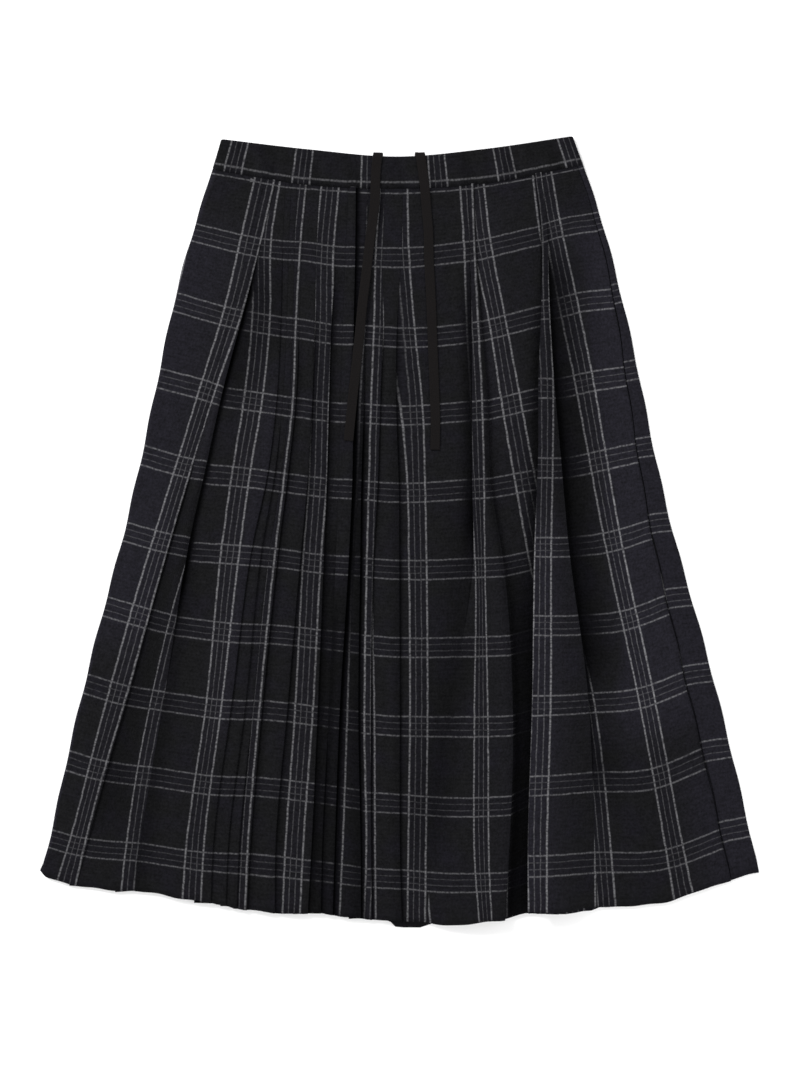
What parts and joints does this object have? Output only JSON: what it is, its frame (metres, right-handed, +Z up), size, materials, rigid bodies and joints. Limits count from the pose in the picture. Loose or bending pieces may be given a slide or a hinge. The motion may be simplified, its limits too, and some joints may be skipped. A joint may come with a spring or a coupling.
{
  "type": "plaid skirt",
  "caption": "Pleated midi skirt of checked cotton with a waistband and flat drawstring tapes, laid flat with its front up.",
  "frame": {"origin": "on the surface that the skirt lies on, under the middle of its outline", "axes": "+X across the skirt to the right of someone looking down at its front, +Y from hem to waist, +Z up from the surface"},
  "size_m": [0.7484, 0.823, 0.0228],
  "materials": {
    "checked_cotton": "crinkled near-black cotton with grey-white slubby check lines, matt",
    "drawstring_tape": "flat woven tape, dark brown-black, matt"
  },
  "bodies": {
    "root": {"waistband": "checked_cotton", "skirt_front": "checked_cotton", "skirt_back": "checked_cotton", "drawstring_left": "drawstring_tape", "drawstring_right": "drawstring_tape"}
  },
  "joints": []
}
